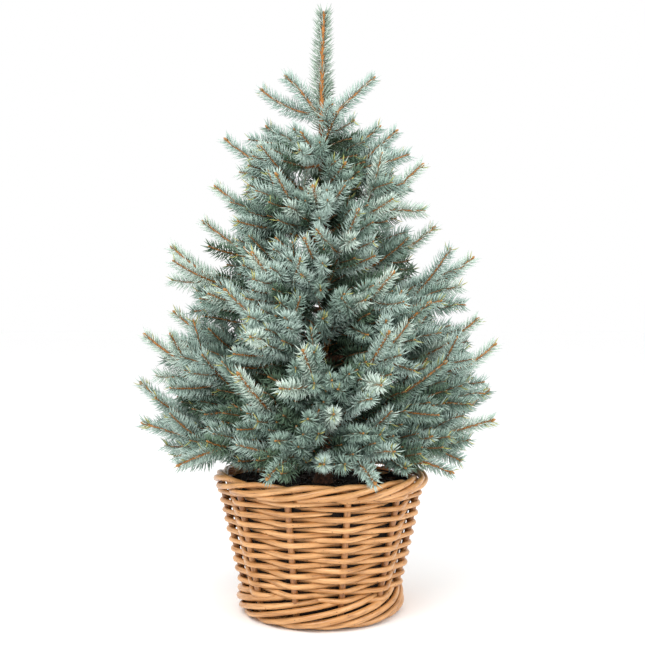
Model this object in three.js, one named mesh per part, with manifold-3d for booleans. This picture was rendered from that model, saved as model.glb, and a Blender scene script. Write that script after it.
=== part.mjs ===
// Potted blue spruce in a wicker basket. Millimetres, +Z up, the viewer's side is -Y.
// The origin is the centre of the basket's flat underside.
import * as THREE from "three";
import Module from "manifold-3d";

const wasm = await Module();
wasm.setup();

// ---- gaps between neighbouring pieces ----
const GAP = 0.3;
const GRIDS = [0.02, 0.01, 0.05, 0.005, 0.002]; // mm that corners are brought onto, tried in turn
const EASES = [1, 1.02, 0.98, 1.04, 0.96, 1.06];

// ---- basket: stakes with willow rods woven before and behind them ----
const STAKES = 11;
const STEPS_PER_STAKE = 2;
const COLUMNS = STAKES * STEPS_PER_STAKE;
const ROPE_COLUMNS = STAKES * 3;
const FOOT_R = 121;
const FOOT_UNDER_R = 108; // edge of the flat underside
const FOOT_TOP = 36;
const WALL_TOP = 188;
const RIM_TOP = 207;
const RIM_R = 160;
const WALL_FLARE = 0.222; // growth of the radius per mm of height
const WALL_THICK = 24;
const FLOOR_THICK = 16;
const ROD_STAND_OUT = 8.5; // a rod before a stake stands this far proud of the stake
const ROWS = 21;
const FOOT_ROPE = 2.6;
const RIM_ROPE = 2.2;
const RIM_WIDTH = 21;

// ---- soil ----
const SOIL_TOP = 185;
const SOIL_LUMP = 2.2;

// ---- trunk ----
const GROUND = SOIL_TOP + GAP;
const TIP = 886;
const TRUNK_BASE = { x: 3.7, y: 0 };
const TRUNK_BOW = 4;
const TRUNK_LEAN = 3.5;
const TRUNK_R = 10.5;
const TRUNK_TIP_R = 2.4;
const FLARE_R = 6;
const FLARE_HEIGHT = 16;
const TRUNK_SIDES = 10;
const TRUNK_STEPS = 12;

// ---- boughs ----
const STAGGER = [0, 11, -11, 19, -20, 6]; // a whorl's limbs spring at slightly different heights
const SWAY = 7; // degrees of sideways sweep
const BOUGH_SHARE = 0.33; // a bough is this share of its branch, and the foliage is the rest
const BOUGH_SIDES = 5;
const BOUGH_R = 5.2;
const BOUGH_TIP_R = 3.6;
const TWIG_R = 3.4;

// ---- shoots, and the needles that stand out of them ----
const STEM_RADII = [TWIG_R, 7, 4.6]; // of the bare root, where needles begin, and of the tip
const SHOOT_RADII = [1.7, 5.6, 4.6];
const SLEEVE_SIDES = 5;
const SLEEVE_WALL = 3.6; // of the sleeve of twig and needle roots round the trunk
const STEM_SIDES = 3;
const NEEDLE = 18;
const NEEDLE_LEAN = 0.62; // radians forward of square to the shoot
const RING_STEP = 23;
const BARE_TWIG = 22; // foot of a shoot that springs from the trunk and holds no needles
const SHOOT_ANGLE = 0.8; // radians between a side shoot and its stem
const STATION_STEP = 14.5;
const LAST_GROWTH = 80; // the newest growth at the tip has no side shoots
const SHOOT_CURL = 0.16;
const SHOOT_BARE = 16;
const SHOOT_TURN = 2.4; // radians round the stem from one side shoot to the next
const ROOM = 18; // shoots of different masses keep their stems this far apart
const NEEDLE_ROOM = 1.1;
const SEED = 700;
const SHOOT_ROOM = 14;

// The branches, whorl by whorl down the trunk. A row holds the side that the branch grows to, its azimuth in
// degrees (0 right, 90 back), its reach out from the trunk and its rise from root to tip. sweep is the slope
// at the tip. Small shoots at the top share one mass with the sleeve of needles on their piece of trunk.
const SLEEVES = { top: [705, 891], upper: [620, 701] };
const WHORLS = [
  {
    height: 727,
    sweep: 0.9,
    mass: "top",
    rows: [
      ["left", 187, 52, 64],
      ["back_left", 152, 98, 43],
      ["right", 3, 78, 76],
      ["back", 80, 66, 54],
    ],
  },
  {
    height: 682,
    sweep: 0.9,
    mass: "upper",
    rows: [["front_right", -64, 48, 46]],
  },
  {
    height: 650,
    sweep: 0.85,
    mass: "upper",
    rows: [
      ["left", 162, 88, 73],
      ["front_left", 196, 94, 22],
      ["right", 11, 85, 79],
      ["front", -108, 68, 25],
      ["front_right", -66, 64, 22],
      ["back", 98, 96, 58],
    ],
  },
  {
    height: 602,
    sweep: 0.85,
    rows: [
      ["right", 3, 110, 110],
      ["left", 180, 144, 85],
      ["front", -96, 98, 22],
    ],
  },
  {
    height: 544,
    sweep: 0.85,
    rows: [
      ["left", 187, 160, 82],
      ["right", -5, 146, 100],
      ["front_left", -133, 112, 98],
      ["back", 118, 150, 88],
    ],
  },
  {
    height: 484,
    sweep: 0.85,
    rows: [
      ["left", 174, 182, 92],
      ["right", 9, 168, 74],
      ["front", -66, 116, 106],
      ["front_left", -100, 121, 35],
      ["back", 78, 176, 98],
    ],
  },
  {
    height: 422,
    sweep: 0.85,
    limbs: "bough",
    rows: [
      ["left", 183, 232, 116],
      ["right", -4, 220, 88],
      ["front_right", -61, 167, 80],
      ["front_left", -127, 170, 76],
      ["back", 122, 212, 106],
    ],
  },
  {
    height: 350,
    sweep: 0.85,
    limbs: "bough",
    rows: [
      ["left", 173, 234, 90],
      ["right", 6, 228, 68],
      ["front_left", -126, 200, 128],
      ["front_right", -44, 179, 82],
      ["back", 70, 232, 100],
    ],
  },
  {
    height: 296,
    sweep: 0.85,
    limbs: "bough",
    rows: [
      ["left", 185, 264, 110],
      ["right", -5, 250, 84],
      ["front_right", -64, 196, 126],
      ["front", -96, 186, 72],
      ["back", 128, 244, 96],
    ],
  },
  {
    height: 246,
    sweep: 0.8,
    rows: [
      ["left", 181, 280, 86],
      ["right", 6, 258, 62],
      ["front_left", -127, 204, 122],
      ["front_right", -32, 193, 104],
      ["back", 84, 244, 76],
    ],
  },
  {
    height: 226,
    sweep: 0.34,
    rows: [
      ["left", 186, 266, 50],
      ["right", -6, 247, 46],
      ["back_right", 44, 232, 34],
      ["back_left", 138, 228, 34],
    ],
  },
  {
    height: 236,
    sweep: -0.36,
    rows: [
      ["left", 203, 226, -8],
      ["right", -25, 194, -34],
      ["front_left", -113, 194, -3],
      ["front_right", -69, 191, -39],
    ],
  },
];

// ---------------------------------------------------------------- helpers
const rad = (degrees) => (degrees * Math.PI) / 180;
const lerp = (a, b, t) => a + (b - a) * t;
const vec = (x, y, z) => new THREE.Vector3(x, y, z);
const UP = vec(0, 0, 1);

// The same run of numbers from 0 to 1 every time for one seed.
function seeded(seed) {
  let state = seed;
  return () => {
    state = (state * 16807) % 2147483647;
    return state / 2147483647;
  };
}

function solidOf(points, faces) {
  const mesh = new wasm.Mesh({
    numProp: 3,
    vertProperties: new Float32Array(points.flat()),
    triVerts: new Uint32Array(faces.flat()),
  });
  return new wasm.Manifold(mesh);
}

// The triangles of the largest piece joined edge to edge, so that no scrap or sealed pocket is left where
// shoots cross.
function largestPiece(triangles) {
  const parent = Array.from({ length: triangles.length / 3 }, (_, i) => i);
  const top = (i) => {
    let at = i;
    while (parent[at] !== at) {
      parent[at] = parent[parent[at]];
      at = parent[at];
    }
    return at;
  };
  const edges = new Map();
  triangles.forEach((from, i) => {
    const to = triangles[i % 3 === 2 ? i - 2 : i + 1];
    const key = from < to ? `${from},${to}` : `${to},${from}`;
    const face = Math.floor(i / 3);
    if (edges.has(key)) parent[top(face)] = top(edges.get(key));
    else edges.set(key, face);
  });
  const sizes = new Map();
  parent.forEach((_, face) => sizes.set(top(face), (sizes.get(top(face)) || 0) + 1));
  const [largest] = [...sizes.entries()].sort((a, b) => b[1] - a[1])[0];
  return triangles.filter((_, i) => top(Math.floor(i / 3)) === largest);
}

// Corners brought onto a grid and those that fall together joined. Triangles that close up with them are
// dropped, and so are two that come to lie back to back.
function onGrid(data, grid) {
  const points = [];
  const places = new Map();
  const index = [];
  for (let i = 0; i < data.numVert; i += 1) {
    const at = i * data.numProp;
    const corner = Array.from(data.vertProperties.slice(at, at + 3), (value) => Math.round(value / grid));
    const key = corner.join();
    if (!places.has(key)) places.set(key, points.push(corner.map((value) => value * grid)) - 1);
    index.push(places.get(key));
  }
  const kept = new Map();
  for (let i = 0; i < data.triVerts.length; i += 3) {
    const corners = [0, 1, 2].map((k) => index[data.triVerts[i + k]]);
    if (new Set(corners).size < 3) continue;
    const key = [...corners].sort((a, b) => a - b).join();
    if (kept.has(key)) kept.delete(key);
    else kept.set(key, corners);
  }
  return { points, triangles: [...kept.values()].flat() };
}

// Whether every edge is used once each way.
function isClosed(triangles) {
  const edges = new Map();
  for (let i = 0; i < triangles.length; i += 1) {
    const from = triangles[i];
    const to = triangles[i % 3 === 2 ? i - 2 : i + 1];
    const key = `${from},${to}`;
    if (edges.has(key)) return false;
    edges.set(key, true);
  }
  return [...edges.keys()].every((key) => edges.has(key.split(",").reverse().join()));
}

// The first try that closes: the solid is made with the radii of its stems eased by each of EASES in turn,
// and brought onto each of GRIDS.
function closedPiece(make) {
  for (const ease of EASES) {
    const data = make(ease).getMesh();
    for (const grid of GRIDS) {
      const { points, triangles } = onGrid(data, grid);
      const piece = largestPiece(triangles);
      if (isClosed(piece)) return { points, triangles: piece };
    }
  }
  throw new Error("no try gives a closed piece");
}

function meshOf(name, make, material) {
  const { points, triangles } = closedPiece(make);
  const geometry = new THREE.BufferGeometry();
  geometry.setAttribute("position", new THREE.Float32BufferAttribute(points.flat(), 3));
  geometry.setIndex(triangles);
  geometry.computeVertexNormals();
  const mesh = new THREE.Mesh(geometry, material());
  mesh.name = name;
  return mesh;
}

function finish(colour, roughness) {
  return () => new THREE.MeshStandardMaterial({ color: colour, roughness, metalness: 0 });
}
const willow = finish(0xc8935a, 0.6);
const compost = finish(0x2b2521, 0.95);
const bark = finish(0x8a5a38, 0.85);
const needles = finish(0x8ca397, 0.85);

// A closed body of revolution whose radius also changes round the axis: rows of {z, radius(angle)}.
function turned(rows, columns) {
  const points = [];
  const faces = [];
  rows.forEach((row) => {
    for (let i = 0; i < columns; i += 1) {
      const angle = (2 * Math.PI * i) / columns;
      const r = row.radius(angle);
      points.push([r * Math.cos(angle), r * Math.sin(angle), row.z]);
    }
  });
  for (let j = 0; j + 1 < rows.length; j += 1) {
    for (let i = 0; i < columns; i += 1) {
      const a = j * columns + i;
      const b = j * columns + ((i + 1) % columns);
      faces.push([a, b, b + columns], [a, b + columns, a + columns]);
    }
  }
  const low = points.push([0, 0, rows[0].z]) - 1;
  const high = points.push([0, 0, rows[rows.length - 1].z]) - 1;
  const last = (rows.length - 1) * columns;
  for (let i = 0; i < columns; i += 1) {
    const next = (i + 1) % columns;
    faces.push([low, next, i], [high, last + i, last + next]);
  }
  return solidOf(points, faces);
}

// ---------------------------------------------------------------- basket
const wallRadius = (z) => FOOT_R + WALL_FLARE * (z - FOOT_TOP / 2);

// The woven wall, filled: one rod winds up in a helix, and with an odd number of stakes each turn passes
// before the stakes that the turn below passes behind.
function wovenWall() {
  const low = FOOT_TOP - 9;
  const pitch = (WALL_TOP - low) / (ROWS + 1);
  const total = COLUMNS * (ROWS + 1);
  const points = [];
  const faces = [];
  const ringPoint = (i, z, inset) => {
    const angle = (2 * Math.PI * i) / COLUMNS;
    const r = wallRadius(z) - inset;
    return [r * Math.cos(angle), r * Math.sin(angle), z];
  };
  for (let s = 0; s <= total; s += 1) {
    const over = Math.cos((Math.PI * s) / STEPS_PER_STAKE);
    const inset = ROD_STAND_OUT * (1 - Math.max(0, over));
    points.push(ringPoint(s, low + pitch * (0.4 + (s / COLUMNS) * 0.985), inset));
  }
  for (let s = 0; s + COLUMNS < total; s += 1) {
    faces.push([s, s + 1, s + COLUMNS + 1], [s, s + COLUMNS + 1, s + COLUMNS]);
  }
  const bottom = points.length;
  for (let i = 0; i < COLUMNS; i += 1) points.push(ringPoint(i, low, ROD_STAND_OUT + 2));
  const top = points.length;
  for (let i = 0; i < COLUMNS; i += 1) points.push(ringPoint(i, WALL_TOP + 2, ROD_STAND_OUT));
  const lowHub = points.push([0, 0, low]) - 1;
  const highHub = points.push([0, 0, WALL_TOP + 2]) - 1;
  const lastTurn = total - COLUMNS;
  for (let i = 0; i < COLUMNS; i += 1) {
    const next = (i + 1) % COLUMNS;
    faces.push([bottom + i, bottom + next, i + 1], [bottom + i, i + 1, i]);
    faces.push([lastTurn + i, lastTurn + i + 1, top + next], [lastTurn + i, top + next, top + i]);
    faces.push([lowHub, bottom + next, bottom + i], [highHub, top + i, top + next]);
  }
  faces.push([bottom, COLUMNS, 0].reverse());
  faces.push([top, lastTurn, total].reverse());
  return solidOf(points, faces);
}

// The foot: thick rods twisted round each other, rolled under to the flat underside.
function wovenFoot() {
  const rope = (z) => (angle) => FOOT_ROPE * Math.cos(STAKES * angle + z * 0.42);
  const rows = [
    { z: 0, radius: () => FOOT_UNDER_R },
    { z: 4, radius: (a) => FOOT_R - 6 + 0.4 * rope(4)(a) },
    ...[11, 20, 29, FOOT_TOP].map((z) => ({ z, radius: (a) => wallRadius(z) - 2 + rope(z)(a) })),
  ];
  return turned(rows, ROPE_COLUMNS);
}

// The border: a ring of long rods laid slantwise over one another.
function wovenRim() {
  const rope = (z) => (angle) => RIM_ROPE * Math.cos(STAKES * angle - (z - WALL_TOP) * 0.3);
  const rows = [
    { z: WALL_TOP - 1, radius: () => wallRadius(WALL_TOP) - 5 },
    ...[WALL_TOP + 4, WALL_TOP + 11].map((z) => ({ z, radius: (a) => RIM_R - 1.5 + rope(z)(a) })),
    { z: RIM_TOP - 3, radius: (a) => RIM_R - 5 + 0.5 * rope(RIM_TOP)(a) },
    { z: RIM_TOP, radius: () => RIM_R - 9 },
  ];
  return turned(rows, ROPE_COLUMNS);
}

const hollowRadius = (z) => wallRadius(z) - WALL_THICK;

function hollow() {
  const inner = (z) => ({ z, radius: () => hollowRadius(z) });
  const mouth = RIM_R - RIM_WIDTH;
  const rows = [inner(FLOOR_THICK), inner(WALL_TOP)];
  rows.push({ z: WALL_TOP + 8, radius: () => mouth - 2 }, { z: RIM_TOP + 1, radius: () => mouth + 3 });
  return turned(rows, COLUMNS);
}

function basket() {
  const outside = wovenWall().add(wovenFoot()).add(wovenRim());
  return meshOf("basket", () => outside.subtract(hollow()), willow);
}

// ---------------------------------------------------------------- soil
function soil() {
  const lump = seeded(7);
  const lumps = Array.from({ length: 64 }, () => SOIL_LUMP * (2 * lump() - 1));
  const points = [];
  const faces = [];
  const columns = 16;
  const slack = (z) => hollowRadius(z) * Math.cos(Math.PI / COLUMNS) - GAP;
  const floor = FLOOR_THICK + GAP;
  const rings = [
    [floor, slack(floor), 0],
    [SOIL_TOP - 6, slack(SOIL_TOP - 6), 0],
    [SOIL_TOP - 1, 108, 1],
    [SOIL_TOP - 1, 68, 1],
    [SOIL_TOP, 30, 0],
  ];
  rings.forEach(([z, r, rough], j) => {
    for (let i = 0; i < columns; i += 1) {
      const angle = (2 * Math.PI * i) / columns;
      const lift = rough * (lumps[(i * 5 + j * 11) % 64] - SOIL_LUMP);
      points.push([r * Math.cos(angle), r * Math.sin(angle), z + lift]);
    }
  });
  for (let j = 0; j + 1 < rings.length; j += 1) {
    for (let i = 0; i < columns; i += 1) {
      const a = j * columns + i;
      const b = j * columns + ((i + 1) % columns);
      faces.push([a, b, b + columns], [a, b + columns, a + columns]);
    }
  }
  const low = points.push([0, 0, floor]) - 1;
  const high = points.push([0, 0, SOIL_TOP]) - 1;
  const last = (rings.length - 1) * columns;
  for (let i = 0; i < columns; i += 1) {
    const next = (i + 1) % columns;
    faces.push([low, next, i], [high, last + i, last + next]);
  }
  return meshOf("soil", () => solidOf(points, faces), compost);
}

// ---------------------------------------------------------------- trunk
function trunkCentre(z) {
  const u = (z - GROUND) / (TIP - GROUND);
  const x = TRUNK_BASE.x + TRUNK_BOW * Math.sin(1.8 * Math.PI * u) + TRUNK_LEAN * u ** 3;
  const y = TRUNK_BASE.y + 0.5 * TRUNK_BOW * Math.sin(1.3 * Math.PI * u);
  return vec(x, y, z);
}

function trunkRadius(z) {
  const u = (z - GROUND) / (TIP - GROUND);
  const flare = FLARE_R * Math.exp(-(z - GROUND) / FLARE_HEIGHT);
  return lerp(TRUNK_R, TRUNK_TIP_R, Math.min(1, u) ** 0.8) + flare;
}

function trunkSolid(grow) {
  const points = [];
  const faces = [];
  for (let j = 0; j <= TRUNK_STEPS; j += 1) {
    const z = lerp(GROUND - grow, TIP + grow, (j / TRUNK_STEPS) ** 1.25);
    const centre = trunkCentre(Math.max(z, GROUND));
    for (let i = 0; i < TRUNK_SIDES; i += 1) {
      const angle = (2 * Math.PI * i) / TRUNK_SIDES;
      const r = trunkRadius(Math.max(z, GROUND)) + grow;
      points.push([centre.x + r * Math.cos(angle), centre.y + r * Math.sin(angle), z]);
    }
  }
  for (let j = 0; j < TRUNK_STEPS; j += 1) {
    for (let i = 0; i < TRUNK_SIDES; i += 1) {
      const a = j * TRUNK_SIDES + i;
      const b = j * TRUNK_SIDES + ((i + 1) % TRUNK_SIDES);
      faces.push([a, b, b + TRUNK_SIDES], [a, b + TRUNK_SIDES, a + TRUNK_SIDES]);
    }
  }
  for (let i = 1; i + 1 < TRUNK_SIDES; i += 1) {
    const last = TRUNK_STEPS * TRUNK_SIDES;
    faces.push([0, i + 1, i], [last, last + i, last + i + 1]);
  }
  return solidOf(points, faces);
}

// ---------------------------------------------------------------- branches
// A branch sets off at the slope that its rise leaves it and sweeps round to the slope of its tip.
function branchPoint(branch, t) {
  const azimuth = rad(branch.azimuth + SWAY * branch.sway * t * t);
  const out = branch.reach * t;
  const swept = branch.sweep * branch.reach - branch.rise;
  const rise = (branch.rise - swept) * t + swept * t * t;
  const root = trunkCentre(branch.height);
  return vec(root.x + out * Math.cos(azimuth), root.y + out * Math.sin(azimuth), branch.height + rise);
}

function tangentOf(curve, t) {
  const ahead = curve(Math.min(1, t + 0.01));
  return ahead.sub(curve(Math.max(0, t - 0.01))).normalize();
}

function lengthOf(curve) {
  let length = 0;
  for (let i = 0; i < 24; i += 1) length += curve((i + 1) / 24).distanceTo(curve(i / 24));
  return length;
}

// Square to a shoot: one way level and to its side, the other way up from it.
function frameOf(direction) {
  const side = vec(-direction.y, direction.x, 0);
  if (side.length() < 0.05) side.set(1, 0, 0);
  side.normalize();
  return { side, up: vec(0, 0, 0).crossVectors(direction, side).normalize() };
}

// Side shoots stand round the stem, each a fixed turn on from the last, and shorten toward the tip.
// Each sweeps upward a little.
function sideShoots(branch, stem, length, random) {
  const shoots = [];
  const first = branch.bare + 8;
  let turn = branch.azimuth;
  for (let at = first; at < length - LAST_GROWTH * Math.min(1, length / 190 + 0.2); at += STATION_STEP) {
    const along = at / length;
    turn += SHOOT_TURN + lerp(-0.3, 0.3, random());
    const spread = SHOOT_ANGLE * lerp(0.88, 1.15, random());
    const grown = lerp(0.85, 1.12, random()) * lerp(96, 66, along) * Math.min(1, length / 230 + 0.3);
    const forward = tangentOf(stem, along);
    const { side, up } = frameOf(forward);
    const direction = forward.clone().multiplyScalar(Math.cos(spread));
    direction.addScaledVector(side, Math.sin(spread) * Math.cos(turn));
    direction.addScaledVector(up, Math.sin(spread) * Math.sin(turn));
    const foot = stem(along);
    const curve = (t) => foot.clone().addScaledVector(direction, grown * t)
      .addScaledVector(UP, SHOOT_CURL * grown * t * t);
    shoots.push({ curve, length: grown, bare: SHOOT_BARE, samples: samplesOf(curve, grown), radii: SHOOT_RADII });
  }
  return shoots;
}

// A limb springs from the trunk with a flat foot, GAP clear of the bark.
function rootOf(branch) {
  const away = vec(Math.cos(rad(branch.azimuth)), Math.sin(rad(branch.azimuth)), 0);
  const root = trunkCentre(branch.height);
  return { away, distance: root.dot(away) + trunkRadius(branch.height - 8) + GAP };
}

function slideToRoot(points, direction, { away, distance }) {
  points.forEach((p) => p.addScaledVector(direction, (distance - p.dot(away)) / direction.dot(away)));
}

function samplesOf(curve, length) {
  const steps = Math.max(2, Math.round(length / 6));
  return Array.from({ length: steps + 1 }, (_, i) => curve(i / steps));
}

const nearest = (point, samples) => samples.reduce((least, s) => Math.min(least, s.distanceTo(point)), 1e9);

function newMass(name) {
  return { name, stems: [], samples: [] };
}

function addStem(mass, stem) {
  mass.stems.push(stem);
  mass.samples.push(...stem.samples);
}

function branchOf(whorl, row, place, random) {
  const [, azimuth, reach, rise] = row;
  const height = whorl.height + STAGGER[place];
  const sway = 2 * random() - 1;
  const branch = { height, azimuth, reach, rise, sweep: whorl.sweep, sway };
  branch.start = whorl.limbs === "bough" ? BOUGH_SHARE : 0;
  branch.whole = (t) => branchPoint(branch, t);
  return branch;
}

// The stem of a branch from where its mass begins to its tip.
function mainStem(branch, sleeved) {
  const gap = branch.start > 0 ? GAP / lengthOf(branch.whole) : 0;
  const curve = (t) => branch.whole(lerp(branch.start + gap, 1, t));
  const length = lengthOf(curve);
  branch.bare = branch.start > 0 ? 0 : Math.max(BARE_TWIG, 0.22 * length);
  const root = branch.start > 0 || sleeved ? null : rootOf(branch);
  return { curve, length, bare: branch.bare, samples: samplesOf(curve, length), radii: STEM_RADII, root, branch };
}

function sleeveStem([low, high]) {
  const curve = (t) => trunkCentre(lerp(low, high, t));
  const radii = [0, trunkRadius(low) + SLEEVE_WALL, trunkRadius(high) + SLEEVE_WALL];
  const samples = samplesOf(curve, high - low);
  return { curve, length: high - low, bare: 0, samples, radii, sides: SLEEVE_SIDES };
}

// Every branch first gets its stem; then the side shoots are grown in turn, and one that would come too near
// the stems of another mass, a bough, the trunk or the basket is left out.
function growCrown() {
  const masses = Object.keys(SLEEVES).map((name) => ({ ...newMass(name), sleeve: true }));
  masses.forEach((mass) => addStem(mass, sleeveStem(SLEEVES[mass.name])));
  const wood = [];
  for (let z = GROUND; z < SLEEVES.upper[0]; z += 8) wood.push(trunkCentre(z));
  const boughs = [];
  let count = 0;
  let tier = 2;
  WHORLS.forEach((whorl) => {
    if (!whorl.mass) tier += 1;
    whorl.rows.forEach((row, place) => {
      const random = seeded(SEED + 37 * count);
      count += 1;
      random();
      const branch = branchOf(whorl, row, place, random);
      const shared = masses.find((mass) => mass.name === whorl.mass);
      const mass = shared || newMass(`${tier}_${row[0]}`);
      mass.random = random;
      if (!shared) masses.push(mass);
      addStem(mass, mainStem(branch, Boolean(shared)));
      if (branch.start > 0) {
        const limb = (t) => branch.whole(t * branch.start);
        boughs.push({ name: mass.name, branch, samples: samplesOf(limb, lengthOf(limb)) });
      }
    });
  });
  const limbs = boughs.flatMap((bough) => bough.samples).concat(wood);
  masses.filter((mass) => !mass.sleeve).forEach((mass) => {
    const [main] = mass.stems;
    const others = masses.filter((other) => other !== mass);
    sideShoots(main.branch, main.curve, main.length, mass.random).forEach((shoot) => {
      const outer = shoot.samples.slice(2);
      const beside = others.flatMap((other) => other.samples);
      const free = outer.every((point) => nearest(point, beside) > ROOM && nearest(point, limbs) > ROOM);
      const low = outer.some((point) => point.z < RIM_TOP + 12 && Math.hypot(point.x, point.y) < RIM_R + 12);
      if (free && !low) addStem(mass, shoot);
    });
  });
  return { masses, boughs, limbs };
}

// ---------------------------------------------------------------- shoots with needles
// A slim stem of flat cells turned a little at each ring; on every other cell a needle stands out and
// forward, where there is room for it.
function needledStem({ curve, length, bare, radii, root, sides = STEM_SIDES }, roomAt, ease) {
  const [twigR, baseR, tipR] = radii;
  const rings = Math.max(3, Math.round((length - bare) / RING_STEP));
  const points = [];
  const faces = [];
  const stops = [0];
  if (bare > 0) stops.push(bare / length);
  const from = stops[stops.length - 1];
  for (let j = 1; j <= rings; j += 1) stops.push(lerp(from, 0.95, j / rings));
  const frames = stops.map((t, j) => {
    const centre = curve(t);
    const forward = tangentOf(curve, t);
    const { side, up } = frameOf(forward);
    const r = bare > 0 && j === 0 ? twigR : ease * lerp(baseR, tipR, t);
    for (let k = 0; k < sides; k += 1) {
      const angle = ((k + j * 0.5) * 2 * Math.PI) / sides;
      const p = centre.clone().addScaledVector(side, r * Math.cos(angle)).addScaledVector(up, r * Math.sin(angle));
      points.push(p);
    }
    return { centre, forward };
  });
  if (root) slideToRoot(points.slice(0, sides), frames[0].forward, root);
  const spike = (a, b, c, d, j) => {
    const middle = vec(0, 0, 0);
    [a, b, c, d].forEach((i) => middle.addScaledVector(points[i], 0.25));
    const axis = frames[j].centre.clone().lerp(frames[j + 1].centre, 0.5);
    const out = middle.clone().sub(axis);
    out.addScaledVector(frames[j].forward, -out.dot(frames[j].forward)).normalize();
    const grow = NEEDLE * Math.min(1, 0.75 + 0.1 * j);
    for (const share of [1, 0.75, 0.5]) {
      const tip = axis.clone().addScaledVector(out, grow * share * Math.cos(NEEDLE_LEAN) + 4)
        .addScaledVector(frames[j].forward, grow * share * Math.sin(NEEDLE_LEAN));
      if (roomAt(tip)) return tip;
    }
    return null;
  };
  for (let j = 0; j + 1 < stops.length; j += 1) {
    for (let k = 0; k < sides; k += 1) {
      const a = j * sides + k;
      const b = j * sides + ((k + 1) % sides);
      const [c, d] = [b + sides, a + sides];
      const tip = stops[j] >= from ? spike(a, b, c, d, j) : null;
      if (tip) {
        const at = points.push(tip) - 1;
        faces.push([a, b, at], [b, c, at], [c, d, at], [d, a, at]);
      } else {
        faces.push([a, b, c], [a, c, d]);
      }
    }
  }
  const end = points.push(curve(1)) - 1;
  const last = (stops.length - 1) * sides;
  for (let k = 0; k < sides; k += 1) faces.push([last + k, last + ((k + 1) % sides), end]);
  for (let k = 1; k + 1 < sides; k += 1) faces.push([0, k + 1, k]);
  return solidOf(points.map((p) => [p.x, p.y, p.z]), faces);
}

// A needle keeps to the side of its own stems: its tip is nearer them than any other wood or mass, and it
// stands clear of the mass's other shoots.
function roomFor(mass, grown) {
  const close = (samples) => samples.filter((point) => nearest(point, mass.samples) < 3 * NEEDLE);
  const others = close(grown.masses.filter((other) => other !== mass).flatMap((other) => other.samples));
  const limbs = close(grown.limbs);
  return (stem) => {
    const beside = mass.stems.filter((other) => other !== stem).flatMap((other) => other.samples);
    return (tip) => {
      if (nearest(tip, beside) < SHOOT_ROOM) return false;
      const own = nearest(tip, mass.samples) + NEEDLE_ROOM;
      const low = tip.z < RIM_TOP + 2 && Math.hypot(tip.x, tip.y) < RIM_R + 3;
      return !low && own < nearest(tip, others) && Math.min(own, 9) < nearest(tip, limbs);
    };
  };
}

// The shoots of a mass fused together. A sleeve of needles stands round the trunk, which runs up inside it.
function foliage(mass, grown) {
  const room = roomFor(mass, grown);
  const make = (ease) => {
    const solid = mass.stems.map((stem) => needledStem(stem, room(stem), ease)).reduce((a, b) => a.add(b));
    return mass.sleeve ? solid.subtract(trunkSolid(GAP)) : solid;
  };
  return meshOf(`foliage_${mass.name}`, make, needles);
}

function bough({ name, branch }) {
  const steps = 3;
  const points = [];
  const faces = [];
  for (let j = 0; j <= steps; j += 1) {
    const t = (j / steps) * branch.start;
    const centre = branch.whole(t);
    const direction = tangentOf(branch.whole, t);
    const { side, up } = frameOf(direction);
    const r = lerp(BOUGH_R, BOUGH_TIP_R, j / steps);
    const ring = Array.from({ length: BOUGH_SIDES }, (_, k) => {
      const angle = (2 * Math.PI * k) / BOUGH_SIDES;
      return centre.clone().addScaledVector(side, r * Math.cos(angle)).addScaledVector(up, r * Math.sin(angle));
    });
    if (j === 0) slideToRoot(ring, direction, rootOf(branch));
    points.push(...ring.map((p) => [p.x, p.y, p.z]));
  }
  for (let j = 0; j < steps; j += 1) {
    for (let k = 0; k < BOUGH_SIDES; k += 1) {
      const a = j * BOUGH_SIDES + k;
      const b = j * BOUGH_SIDES + ((k + 1) % BOUGH_SIDES);
      faces.push([a, b, b + BOUGH_SIDES], [a, b + BOUGH_SIDES, a + BOUGH_SIDES]);
    }
  }
  for (let k = 1; k + 1 < BOUGH_SIDES; k += 1) {
    const last = steps * BOUGH_SIDES;
    faces.push([0, k + 1, k], [last, last + k, last + k + 1]);
  }
  return meshOf(`bough_${name}`, () => solidOf(points, faces), bark);
}

// ---------------------------------------------------------------- the whole plant
function build() {
  const group = new THREE.Group();
  group.name = "potted_blue_spruce";
  const grown = growCrown();
  group.add(basket(), soil(), meshOf("trunk", () => trunkSolid(0), bark));
  grown.boughs.forEach((limb) => group.add(bough(limb)));
  grown.masses.forEach((mass) => group.add(foliage(mass, grown)));
  return group;
}

export default build();
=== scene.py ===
import math
from functools import partial

import bpy
import numpy as np
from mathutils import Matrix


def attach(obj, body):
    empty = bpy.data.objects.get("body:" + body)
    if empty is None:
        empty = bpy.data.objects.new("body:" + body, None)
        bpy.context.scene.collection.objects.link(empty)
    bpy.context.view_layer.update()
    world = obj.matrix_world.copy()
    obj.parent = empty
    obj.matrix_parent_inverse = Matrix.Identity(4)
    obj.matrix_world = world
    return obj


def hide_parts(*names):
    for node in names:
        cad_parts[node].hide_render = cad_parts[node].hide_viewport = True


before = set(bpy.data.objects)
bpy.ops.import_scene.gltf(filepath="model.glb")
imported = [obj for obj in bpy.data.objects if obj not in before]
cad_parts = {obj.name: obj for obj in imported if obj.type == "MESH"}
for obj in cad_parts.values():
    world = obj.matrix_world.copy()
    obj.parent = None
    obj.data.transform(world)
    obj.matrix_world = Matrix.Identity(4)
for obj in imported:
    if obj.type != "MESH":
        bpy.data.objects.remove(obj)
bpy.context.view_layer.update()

foliage_nodes = sorted(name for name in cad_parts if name.startswith("foliage_"))
bough_nodes = sorted(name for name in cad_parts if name.startswith("bough_"))

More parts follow.
